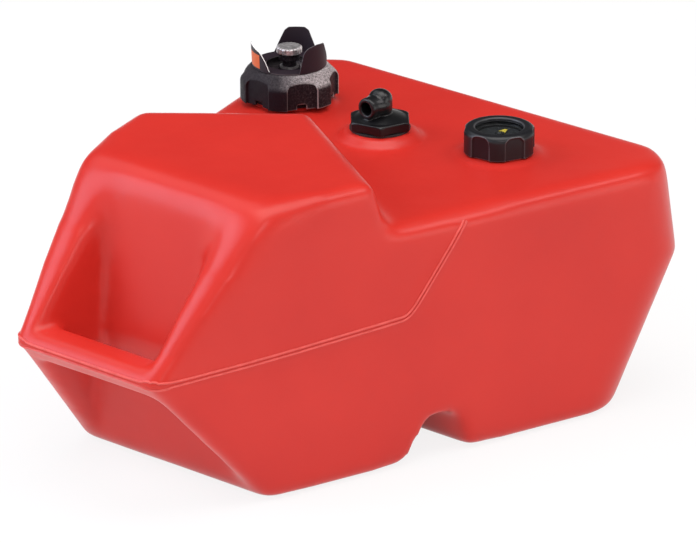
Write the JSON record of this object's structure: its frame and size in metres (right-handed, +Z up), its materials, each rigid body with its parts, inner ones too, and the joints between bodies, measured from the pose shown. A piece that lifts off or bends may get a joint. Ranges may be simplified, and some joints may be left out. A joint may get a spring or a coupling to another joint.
{
  "type": "outboard fuel tank",
  "caption": "Portable moulded fuel tank with a carrying bar, vented filler cap, pickup elbow and float gauge, tapered to stow in a bow.",
  "frame": {"origin": "on the ground under the middle of the tank's length and width", "axes": "+X towards the wide stern end that carries the fittings, +Y towards the filler cap's side, +Z up"},
  "size_m": [0.525, 0.414, 0.2684],
  "materials": {
    "red_polyethylene": "blow-moulded, soft sheen, faint orange peel",
    "black_polypropylene": "moulded, fine texture",
    "nitrile_rubber": "matte",
    "bright_metal": "bright, lightly worn",
    "printed_card": "coated card, white cut edges",
    "natural_nylon": "natural, slightly translucent",
    "dial_plate": "matte print",
    "yellow_pointer": "gloss",
    "clear_lens": "clear polycarbonate",
    "brass_rod": "drawn",
    "aluminium_ribbon": "rolled",
    "float_foam": "closed-cell foam"
  },
  "bodies": {
    "root": {"tank_body": "red_polyethylene", "pickup_gasket": "nitrile_rubber", "pickup_elbow": "black_polypropylene", "pickup_tube": "natural_nylon", "pickup_strainer": "natural_nylon", "gauge_gasket": "nitrile_rubber", "gauge_head": "black_polypropylene", "gauge_dial": "dial_plate", "lens_seal": "nitrile_rubber", "gauge_lens": "clear_lens", "gauge_collar": "black_polypropylene", "guide_rods": "brass_rod", "rod_foot": "natural_nylon"},
    "cap_seal": {"cap_gasket": "nitrile_rubber"},
    "cap": {"cap_shell": "black_polypropylene", "cap_insert": "black_polypropylene", "vent_bushing": "black_polypropylene", "vent_tag": "printed_card"},
    "vent_lift": {"vent_washer": "bright_metal"},
    "vent_screw": {"vent_stem": "black_polypropylene", "vent_knob": "bright_metal"},
    "gauge_float": {"gauge_float": "float_foam"},
    "gauge_ribbon": {"gauge_ribbon": "aluminium_ribbon", "gauge_pointer": "yellow_pointer"}
  },
  "joints": [
    {"name": "cap_lift", "type": "slide", "parent": "root", "child": "cap_seal", "axis": [0, 0, 1], "range_m": [0, 0.07]},
    {"name": "cap_turn", "type": "hinge", "parent": "cap_seal", "child": "cap", "pos_m": [0.127, 0.128, 0.23], "axis": [0, 0, 1], "range_deg": [0, 450]},
    {"name": "vent_rise", "type": "slide", "parent": "cap", "child": "vent_lift", "axis": [0, 0, 1], "range_m": [0, 0.003]},
    {"name": "vent_turn", "type": "hinge", "parent": "vent_lift", "child": "vent_screw", "pos_m": [0.127, 0.128, 0.2432], "axis": [0, 0, 1], "range_deg": [0, 720.02]},
    {"name": "float_slide", "type": "slide", "parent": "root", "child": "gauge_float", "axis": [0, 0, 1], "range_m": [0, 0.15]},
    {"name": "pointer_turn", "type": "hinge", "parent": "root", "child": "gauge_ribbon", "pos_m": [0.147, -0.087, 0.222], "axis": [0, 0, 1], "range_deg": [0, 270.01]}
  ],
  "couplings": [
    {"joint": "vent_turn", "follows": "vent_rise", "rad_per_m": 4188.8},
    {"joint": "pointer_turn", "follows": "float_slide", "rad_per_m": 31.416}
  ]
}
